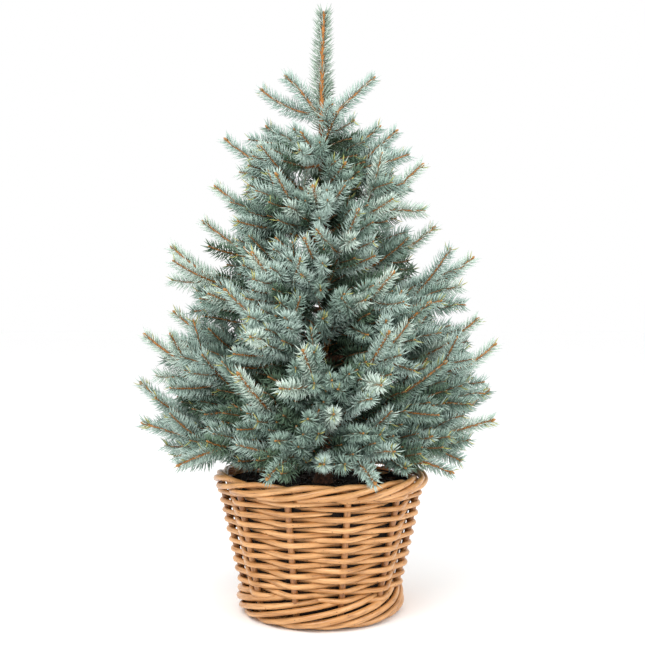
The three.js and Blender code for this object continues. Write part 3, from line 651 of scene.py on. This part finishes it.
bough_points, bough_faces, corner = [], [[], []], 0
for count, branch in enumerate(branches):
    if branch["kind"] == "bough":
        path = branch_curve(branch, np.linspace(BOUGH_START, BOUGH_SHARE, BOUGH_STEPS))
        radii = np.linspace(BOUGH_R, BOUGH_TIP_R, BOUGH_STEPS)
        points, faces, _ = barked_limb(path, radii, BOUGH_SIDES, BOUGH_RELIEF, upright, 40 + count)
        bough_points.append(points)
        bough_faces[0].append(faces[0] + corner)
        bough_faces[1].append(np.concatenate(faces[1:]) + corner)
        corner += len(points)
make_piece("bough_bark", np.concatenate(bough_points), [np.concatenate(f) for f in bough_faces],
           trunk_bark, bough_nodes)

# ---------------------------------------------------------------- shoots
# Beyond the boughs the branches go on as leafy twigs with side shoots round them, each a fixed turn on
# from the last. A shoot that would crowd another branch's is left out, and finer ones fill what is open.
TWIG_STEPS = 13
TWIG_SIDES = 5
TWIG_R = ((2.8, 1.7), (1.8, 1.35), (1.4, 1.1))  # at foot and tip, of stems, side shoots and finer twigs
SAMPLE_STEP = 6
BARE_TWIG = 22
BARE_SHARE = 0.22
TOP_BARE = 6
SHOOT_ANGLE = 0.8
SHOOT_SPREAD = (0.88, 1.15)
SHOOT_GROWTH = (0.85, 1.12)
SHOOT_LENGTH = (96, 66)  # beside the foot of a stem and beside its tip
SHOOT_BARE = 8
STATION_STEP = 14.5
LAST_GROWTH = 80
SHOOT_CURL = 0.16
SHOOT_TURN = 2.4
ROOM = 18
RIM_TOP = 207
RIM_R = 160
RIM_ROOM = 12
TOP_STRETCH = (705, 891)  # of the trunk, which the top whorl's foliage surrounds
UPPER_STRETCH = (620, 701)
LEADER_FOOT = 640
TWIG_MOTTLE = 260  # in a metre, which is one every four millimetres
GOLDEN_ANGLE = 2.39996


def frame_of(direction):
    """Two directions square to a shoot: one level, the other up from it."""
    side = np.stack([-direction[..., 1], direction[..., 0], np.zeros(direction.shape[:-1])], axis=-1)
    level = np.linalg.norm(side, axis=-1, keepdims=True)
    side = unit(np.where(level < 0.05, [0.0, 1.0, 0.0], side))
    return side, unit(np.cross(direction, side))


def samples_of(curve, length):
    """Points every six millimetres or so along a curve."""
    steps = max(2, math.floor(length / SAMPLE_STEP + 0.5))
    return curve(np.arange(steps + 1) / steps)


def tangent_of(curve, t):
    """The direction of a curve at t, from a little before to a little after."""
    ends = curve(np.array([max(0.0, t - 0.01), min(1.0, t + 0.01)]))
    return unit(ends[1] - ends[0])


def branch_part(branch, first, last, t):
    """Part of a branch, from one share of it to another as t goes from 0 to 1."""
    return branch_curve(branch, first + (last - first) * np.asarray(t))


def trunk_stretch(low, high, t):
    """The trunk's middle from one height to another as t goes from 0 to 1."""
    return trunk_centre(low + (high - low) * np.asarray(t, float))


def side_shoot(foot, direction, grown, t):
    """A side shoot: straight out along its direction, with an upward curl by the square of t."""
    t = np.asarray(t, float)[..., None]
    return foot + direction * grown * t + upright * SHOOT_CURL * grown * t ** 2


def side_direction(forward, spread, turn):
    """A direction at an angle from forward, turned round it from level toward up."""
    side, up = frame_of(forward)
    return math.cos(spread) * forward + math.sin(spread) * (math.cos(turn) * side + math.sin(turn) * up)


def nearest(points, others):
    """Distance from each point to the nearest of the others."""
    return np.sqrt(((points[:, None] - others[None]) ** 2).sum(axis=2)).min(axis=1)


def over_rim(points):
    """Whether each point would touch the border."""
    out = np.hypot(points[:, 0], points[:, 1])
    return (points[:, 2] < RIM_TOP + RIM_ROOM) & (out < RIM_R + RIM_ROOM)


# The foliage stands as masses: one round the leader, one below it, and one for every other branch. Each
# holds points along its stems, so that the masses can be kept apart from one another and from the limbs.
masses = [[samples_of(partial(trunk_stretch, low, high), high - low)]
          for low, high in (TOP_STRETCH, UPPER_STRETCH)]
shared_mass = {"top": 0, "upper": 1}
limbs = [trunk_centre(np.arange(GROUND, UPPER_STRETCH[0], 8))]
shoots = []
for branch in branches:
    first = 0
    if branch["kind"] == "bough":
        limb = partial(branch_part, branch, 0, BOUGH_SHARE)
        limbs.append(samples_of(limb, length_of(limb)))
        first = BOUGH_SHARE + GAP / length_of(partial(branch_curve, branch))
    curve = partial(branch_part, branch, first, 1)
    length = length_of(curve)
    bare = 0 if first else max(BARE_TWIG, BARE_SHARE * length)
    mass = shared_mass.get(branch["kind"], len(masses))
    if mass == len(masses):
        masses.append([])
    masses[mass].append(samples_of(curve, length))
    branch.update(curve=curve, length=length, bare=bare, mass=mass)
    leafless = TOP_BARE if branch["kind"] in shared_mass else bare
    shoots.append(dict(curve=curve, length=length, bare=leafless, order=0, branch=branch))

for branch in branches:
    if branch["kind"] in shared_mass:
        continue
    length, chance = branch["length"], branch["chance"]
    turn = branch["azimuth"]
    at = branch["bare"] + 8
    while at < length - LAST_GROWTH * min(1, length / 190 + 0.2):
        along = at / length
        turn += SHOOT_TURN + drawn(chance, -0.3, 0.3)
        spread = SHOOT_ANGLE * drawn(chance, *SHOOT_SPREAD)
        grown = drawn(chance, *SHOOT_GROWTH) * np.interp(along, [0, 1], SHOOT_LENGTH)
        grown *= min(1, length / 230 + 0.3)
        direction = side_direction(tangent_of(branch["curve"], along), spread, turn)
        curve = partial(side_shoot, branch["curve"](along), direction, grown)
        samples = samples_of(curve, grown)
        outer = samples[2:]
        others = [s for number, mass in enumerate(masses) if number != branch["mass"] for s in mass]
        if nearest(outer, np.concatenate(others + limbs)).min() > ROOM and not over_rim(outer).any():
            masses[branch["mass"]].append(samples)
            shoots.append(dict(curve=curve, length=grown, bare=SHOOT_BARE, order=1, branch=branch))
        at += STATION_STEP
parents = [shoot for shoot in shoots if shoot["branch"]["kind"] != "top"]

# Low in the crown inner twigs hide the trunk. Each row is one twig's height on the trunk, azimuth, reach
# and rise. Then finer twigs grow wherever they find room: pairs of them on the older growth of every stem,
# and single ones from the bases of the branches, the boughs and the trunk between the whorls.
INNER_SWEEP = 0.12
INNER_TWIGS = (
    (271, -87, 172, 78), (249, -71, 186, 76), (243, -86, 176, 62), (249, -97, 178, 50),
    (239, -73, 174, 40), (235, -111, 178, 34), (231, -61, 190, 24), (225, -90, 172, 14),
    (420, -105, 130, 70), (387, -80, 140, 76), (385, -68, 141, 70), (352, 168, 140, 60),
    (380, 150, 128, 56), (362, 196, 128, 44), (330, 20, 150, 60), (372, -92, 118, 58),
    (366, -78, 96, 74), (398, -120, 110, 48), (368, 178, 182, 66), (470, 176, 120, 62),
)
FINE_BARE = 6
FINE_ROOM = 11.5
FINE_STEP = 7.0
PAIR_TURN = 1.25
PAIR_SPREAD = (0.72, 0.95)
PAIR_SHORT_OF_TIP = 30
STEM_PAIRS = (72, 54)  # lengths beside the foot of a stem and beside its tip
SHOOT_PAIRS = (50, 40)
TRUNK_PASSES = ((FINE_ROOM, 150, 690), (8.5, 100, 690), (7.5, 80, 600))  # room, longest twig, top height
TRUNK_LOW = 232
TRUNK_STEP = 3.0


def bent_twig(foot, direction, grown, t):
    """A finer twig: it sets off along its direction and turns by degrees to face outward from the trunk."""
    outward = unit(np.array([foot[0], foot[1], 0.22 * math.hypot(foot[0], foot[1])]) + 1e-6)
    t = np.asarray(t, float)[..., None]
    return foot + grown * (direction * (t - 0.5 * t ** 2) + 0.62 * outward * t ** 2)


def grow_fine_twig(foot, direction, grown, room, limit=math.inf):
    """Adds a finer twig unless it would crowd a stem, touch the border or reach out past the limit."""
    global taken
    curve = partial(bent_twig, foot, direction, grown)
    outer = samples_of(curve, grown)[3:]
    past = np.hypot(*outer[-1][:2]) > limit
    if past or nearest(outer, taken).min() < room or over_rim(outer).any():
        return
    taken = np.concatenate([taken, outer])
    shoots.append(dict(curve=curve, length=grown, bare=FINE_BARE, order=2))


def grow_single_twigs(curve, length, start, end, spreads, lengths, room):
    """Single finer twigs every few millimetres of a stem from start to end, a golden angle apart."""
    for count, at in enumerate(np.arange(start, end, FINE_STEP)):
        forward = tangent_of(curve, at / length)
        direction = side_direction(forward, fine.uniform(*spreads), GOLDEN_ANGLE * count)
        grow_fine_twig(curve(at / length), direction, fine.uniform(*lengths), room)


taken = np.concatenate([samples for mass in masses for samples in mass] + limbs)
fine = np.random.default_rng(17)
for height, azimuth, reach, rise in INNER_TWIGS:
    twig = dict(height=height, azimuth=azimuth, reach=reach, rise=rise, sweep=INNER_SWEEP, sway=0)
    curve = partial(branch_curve, twig)
    length = length_of(curve)
    taken = np.concatenate([taken, samples_of(curve, length)[4:]])
    shoots.append(dict(curve=curve, length=length, bare=0.3 * length, order=1))

for parent in parents:
    main = parent["order"] == 0
    newest = LAST_GROWTH * min(1, parent["length"] / 170 + 0.2) if main else 24
    limit = np.hypot(*parent["branch"]["curve"](1.0)[:2]) - PAIR_SHORT_OF_TIP
    turn = fine.uniform(0, 3.1)
    for at in np.arange(parent["bare"] + 6, parent["length"] - newest, FINE_STEP):
        along = at / parent["length"]
        turn += PAIR_TURN
        foot, forward = parent["curve"](along), tangent_of(parent["curve"], along)
        for half in (0, math.pi):
            usual = np.interp(along, [0, 1], STEM_PAIRS if main else SHOOT_PAIRS)
            grown = fine.uniform(*SHOOT_GROWTH) * usual
            direction = side_direction(forward, fine.uniform(*PAIR_SPREAD), turn + half)
            grow_fine_twig(foot, direction, grown, FINE_ROOM, limit)
for branch in branches:
    if branch["kind"] != "top":
        length = branch["length"]
        grow_single_twigs(branch["curve"], length, branch["bare"] + 6, 0.62 * length,
                          (0.8, 1.05), (42, 60), 9.0)
    if branch["kind"] == "bough":
        whole = partial(branch_curve, branch)
        length = length_of(whole)
        grow_single_twigs(whole, length, 18, BOUGH_SHARE * length, (0.8, 1.1), (46, 68), 8.0)
for room, longest, high in TRUNK_PASSES:
    for count, z in enumerate(np.arange(TRUNK_LOW, high, TRUNK_STEP)):
        azimuth = GOLDEN_ANGLE * count + fine.uniform(-0.3, 0.3)
        steep = fine.uniform(0.3, 0.8)
        outward = np.array([math.cos(azimuth) * math.cos(steep), math.sin(azimuth) * math.cos(steep),
                            math.sin(steep)])
        usual = np.interp(z, [TRUNK_LOW, 500, 700], [longest, 0.8 * longest, 72])
        grow_fine_twig(trunk_centre(z), outward, fine.uniform(0.6, 1.0) * usual, room)

shoot_paths = np.stack([shoot["curve"](np.linspace(0, 1, TWIG_STEPS)) for shoot in shoots])
shoot_lengths = np.array([shoot["length"] for shoot in shoots])
shoot_bare = np.array([shoot["bare"] for shoot in shoots])
shoot_order = np.array([shoot["order"] for shoot in shoots])
foot_r, tip_r = np.array(TWIG_R)[shoot_order].T
shoot_radii = foot_r[:, None] + (tip_r - foot_r)[:, None] * np.linspace(0, 1, TWIG_STEPS) ** 0.7


def mottled_skin(name, pale, deep, cells_a_metre, detail, stops, **values):
    """A smooth skin whose colour drifts softly between two tones."""
    finish, shader = new_finish(name, **values)
    where = add_node(finish, "TexCoord").outputs["Object"]
    mottle = add_node(finish, "TexNoise",
                      links={"Vector": where, "Scale": cells_a_metre, "Detail": detail})
    tint = add_node(finish, "ValToRGB", links={"Fac": mottle.outputs["Fac"]},
                    stops=((stops[0], deep), (stops[1], pale)))
    finish.node_tree.links.new(tint.outputs["Color"], shader.inputs["Base Color"])
    return finish


for name, bark, pale, deep, chosen in (
    ("twigs", "young_orange_bark", "#c08447", "#7c4a22", shoot_order < 2),
    ("fine_twigs", "young_brown_bark", "#9a7044", "#5e3f24", shoot_order == 2),
):
    finish = mottled_skin(bark, pale, deep, TWIG_MOTTLE, 3.0, (0.3, 0.7), Roughness=0.5, IOR=1.45)
    points, faces, uv = swept_rods(shoot_paths[chosen], shoot_radii[chosen], TWIG_SIDES, upright)
    make_piece(name, points, faces, finish, foliage_nodes, uv)

# ---------------------------------------------------------------- needles
# Stiff needles, nearly two centimetres long, stand all round each shoot and lean forward. A blue wax
# bloom makes the young ones silvery, and the wax has worn off the old ones low and inside. Their tones
# also carry painted light and shade: paler on the outside and top of the crown, darker inside and low down.
NEEDLE = 19.5
NEEDLE_SPREAD = (0.84, 1.1)
NEEDLE_R = 0.92
NEEDLES_A_MM = 2.05
NEEDLES_A_PIECE = 19500
SIDE_PARTING = 0.17
SIDE_BAND = 0.42
LEAN = 66  # degrees from the shoot, with this spread, and this much less at its tip
LEAN_SPREAD = 6
TIP_LEAN = 22
NEEDLE_BEND = 0.16
WAX_DRIFT = 90  # in a metre, which is one every eleven millimetres
CROWN_Z = (180, 300, 500, 700, 880)
CROWN_R = (250, 275, 215, 105, 20)
CROWN_SQUEEZE = 1.28  # the crown counts as this much shallower than it is wide
BLOOM_LIGHT_AND_SHADE_STEPS = (0.28, 0.5, 0.72, 0.95)
# Each bloom has its pale and its deep tone, and how closely its needles stand. The first rows are painted
# light for the outer shoots, the last rows painted shade for the inner ones.
BLOOMS_LIGHT_AND_SHADE = (
    ("silver", "#dcebdf", "#c1d5c9", 1.0),
    ("blue", "#c5d9cf", "#a8bfb5", 1.0),
    ("grey_green", "#a5bdb0", "#859e91", 1.0),
    ("green", "#728b73", "#546e58", 0.8),
    ("deep_green", "#41553c", "#2c3b28", 0.8),
)
FRESH_FROM = 0.93
FRESH_SHARE = 0.12
LEADER_BARE = 70
LEADER_NEEDLES_A_MM = 2.6
LEADER_NEEDLE = 1.12  # of a side shoot's needle
TWIG_MID_R = 1.6
LEADER_MID_R = 3.4


def needle_places(lengths, bare, a_mm, chance):
    """Where needles spring: evenly along each shoot beyond its bare foot and a golden angle apart round it,
    drawn toward the top and the underside, with half of those at the two sides left out. Gives for each
    the number of its shoot, its places along the shoot and along the leafy part, and its angle."""
    counts = np.maximum(6, np.round((lengths - bare) * a_mm)).astype(int)
    which = np.repeat(np.arange(len(lengths)), counts)
    order = np.arange(counts.sum()) - np.repeat(np.cumsum(counts) - counts, counts)
    share = (order + chance.uniform(0, 1, len(order))) / counts[which]
    start = (bare / lengths)[which]
    angle = GOLDEN_ANGLE * order + chance.uniform(-0.3, 0.3, len(order))
    angle = angle - SIDE_PARTING * np.sin(2 * angle)
    at_side = np.abs(np.cos(angle)) < SIDE_BAND
    kept = ~(at_side & (chance.uniform(0, 1, len(order)) < 0.5))
    t = start + (1 - start) * share ** 0.93
    return which[kept], t[kept], share[kept], angle[kept]


def grow_needles(paths, lengths, bare, stem_r, a_mm, size, chance):
    """Needles as three-sided spikes of two lengths: each starts inside the stem, leans forward from it at
    first by about sixty-five degrees from the shoot, and bends a little toward the tip and up as it goes.
    Gives each needle's seven corners, and its place along the shoot."""
    which, t, share, angle = needle_places(lengths, bare, a_mm, chance)
    steps = paths.shape[1] - 1
    low = np.minimum((t * steps).astype(int), steps - 1)
    part = (t * steps - low)[:, None]
    a, b = paths[which, low], paths[which, low + 1]
    forward = unit(b - a)
    side, up = frame_of(forward)
    out = np.sin(angle)[:, None] * side + np.cos(angle)[:, None] * up
    count = len(t)
    lean = np.radians(chance.normal(LEAN, LEAN_SPREAD, count) - TIP_LEAN * share ** 5)
    swell = 0.82 + 0.18 * np.sin(np.pi * np.minimum(1, 0.2 + share))
    long = size * chance.uniform(*NEEDLE_SPREAD, count) * swell
    first = np.cos(lean)[:, None] * forward + np.sin(lean)[:, None] * out
    bend = lean - NEEDLE_BEND
    second = np.cos(bend)[:, None] * forward + np.sin(bend)[:, None] * out
    second = unit(second + 0.1 * upright + 0.05 * chance.standard_normal((count, 3)))
    root = a + (b - a) * part + 0.6 * stem_r * out
    middle = root + first * (0.52 * long)[:, None]
    tip = middle + second * (0.48 * long)[:, None]
    flat = unit(np.cross(first, forward))
    ring = ring_about(flat, np.cross(flat, first), 3)
    wide = (NEEDLE_R * chance.uniform(0.85, 1.1, count))[:, None, None]
    rings = [root[:, None] + 0.8 * wide * ring, middle[:, None] + wide * ring, tip[:, None]]
    return np.concatenate(rings, axis=1), share


def waxy_needles(name, pale, deep):
    """A spruce needle: hard, smooth skin under a thin matt wax, so it shines only softly."""
    return mottled_skin(name, pale, deep, WAX_DRIFT, 2.0, (0.35, 0.65), Roughness=0.5, IOR=1.42)


def needle_pieces(name, points, finish):
    """Needles as joined pieces: three walls in each half, three faces at the tip and one at the root."""
    for part, low in enumerate(range(0, len(points), NEEDLES_A_PIECE)):
        some = points[low:low + NEEDLES_A_PIECE]
        base = np.arange(len(some))[:, None, None] * 7
        walls = base + np.array([[0, 3, 4, 1], [1, 4, 5, 2], [2, 5, 3, 0]])[None]
        ends = base + np.array([[3, 6, 4], [4, 6, 5], [5, 6, 3], [0, 1, 2]])[None]
        make_piece(f"{name}_{part + 1}", some.reshape(-1, 3),
                   [walls.reshape(-1, 4), ends.reshape(-1, 3)], finish, foliage_nodes)


# A shoot's bloom goes by how far out its tip stands, as a share of the crown's radius at that height, higher
# shoots counting further out and finer twigs further in. The shoots round the leader count as fairly far
# out, and none of them as the farthest. Besides the wax, this paints light on the outer shoots and shade
# inside.
needle_chance = np.random.default_rng(23)
tips = shoot_paths[:, -1]
crown_r = np.interp(tips[:, 2], CROWN_Z, CROWN_R)
exposed = np.hypot(tips[:, 0], CROWN_SQUEEZE * tips[:, 1]) / crown_r + 0.1 * (tips[:, 2] - 420) / 400
exposed = np.maximum(exposed, np.interp(tips[:, 2], [640, 720], [0, 0.66]))
exposed = np.minimum(exposed, np.interp(tips[:, 2], [640, 740], [1.2, 0.74]))
exposed += 0.13 * needle_chance.standard_normal(len(tips)) - 0.1 * (shoot_order == 2)
bloom_light_and_shade_of = len(BLOOM_LIGHT_AND_SHADE_STEPS) - np.digitize(exposed, BLOOM_LIGHT_AND_SHADE_STEPS)
fresh_needles = []
for number, (name, pale, deep, closeness) in enumerate(BLOOMS_LIGHT_AND_SHADE):
    finish = waxy_needles(f"waxed_needles_{name}", pale, deep)
    chosen = np.flatnonzero(bloom_light_and_shade_of == number)
    points, share = grow_needles(shoot_paths[chosen], shoot_lengths[chosen], shoot_bare[chosen], TWIG_MID_R,
                                 NEEDLES_A_MM * closeness, NEEDLE, needle_chance)
    fresh = (share > FRESH_FROM) & (needle_chance.uniform(0, 1, len(share)) < FRESH_SHARE)
    fresh_needles.append(points[fresh])
    needle_pieces(f"needles_{name}", points[~fresh], finish)
leader_path = trunk_stretch(LEADER_FOOT, TIP + 1, np.linspace(0, 1, 40))[None]
points, _ = grow_needles(leader_path, np.array([TIP + 1 - LEADER_FOOT]), np.array([LEADER_BARE]),
                         LEADER_MID_R, LEADER_NEEDLES_A_MM, LEADER_NEEDLE * NEEDLE, needle_chance)
needle_pieces("needles_leader", points, waxy_needles("waxed_needles_leader", "#b4c4b6", "#93a697"))
needle_pieces("needles_fresh", np.concatenate(fresh_needles),
              waxy_needles("fresh_needles", "#c3c07a", "#a5a85c"))

# ---------------------------------------------------------------- buds
# A fat scaly bud, orange-brown, closes the tip of every shoot, and three smaller ones stand beside it on
# the main stems.
BUD_LENGTH = 2.6  # of its radius
BUD_SIDES = 6
BUD_ROWS = ((0.0, 0.55), (0.25, 1.0), (0.55, 0.95), (0.82, 0.5))  # place along a bud, and how wide there
TIP_BUD_R = (2.3, 1.5, 1.1)  # of stems, side shoots and finer twigs
SIDE_BUD_R = 1.5
SIDE_BUD_TURNS = (0.3, 2.4, 4.5)
LEADER_BUD_R = 1.8


def buds(places, headings, sizes):
    """Buds as bodies turned about their headings: six-cornered rings that swell and close to a point."""
    ring = ring_about(*frame_of(headings), BUD_SIDES)
    rows = [places[:, None] + sizes[:, None, None] * (BUD_LENGTH * place * headings[:, None] + wide * ring)
            for place, wide in BUD_ROWS]
    tip = places + BUD_LENGTH * sizes[:, None] * headings
    points = np.concatenate(rows + [places[:, None], tip[:, None]], axis=1)
    return points.reshape(-1, 3), ringed_faces(len(places), len(BUD_ROWS), BUD_SIDES, turned_over=True)


heading = unit(shoot_paths[:, -1] - shoot_paths[:, -2])
bud_places, bud_headings, bud_sizes = [tips], [heading], [np.array(TIP_BUD_R)[shoot_order]]
strong = shoot_order == 0
side, up = frame_of(heading)
for turn in SIDE_BUD_TURNS:
    lean = unit(heading + 0.9 * (math.cos(turn) * side + math.sin(turn) * up))
    bud_places.append((tips - 2.0 * heading + 1.0 * lean)[strong])
    bud_headings.append(lean[strong])
    bud_sizes.append(np.full(strong.sum(), SIDE_BUD_R))
bud_places.append(trunk_centre(TIP)[None])
bud_headings.append(upright[None])
bud_sizes.append(np.array([LEADER_BUD_R]))
bud_scale, _ = new_finish("bud_scales", Base_Color=linear("#a8763c"), Roughness=0.45)
points, faces = buds(np.concatenate(bud_places), np.concatenate(bud_headings), np.concatenate(bud_sizes))
make_piece("buds", points, faces, bud_scale, foliage_nodes)
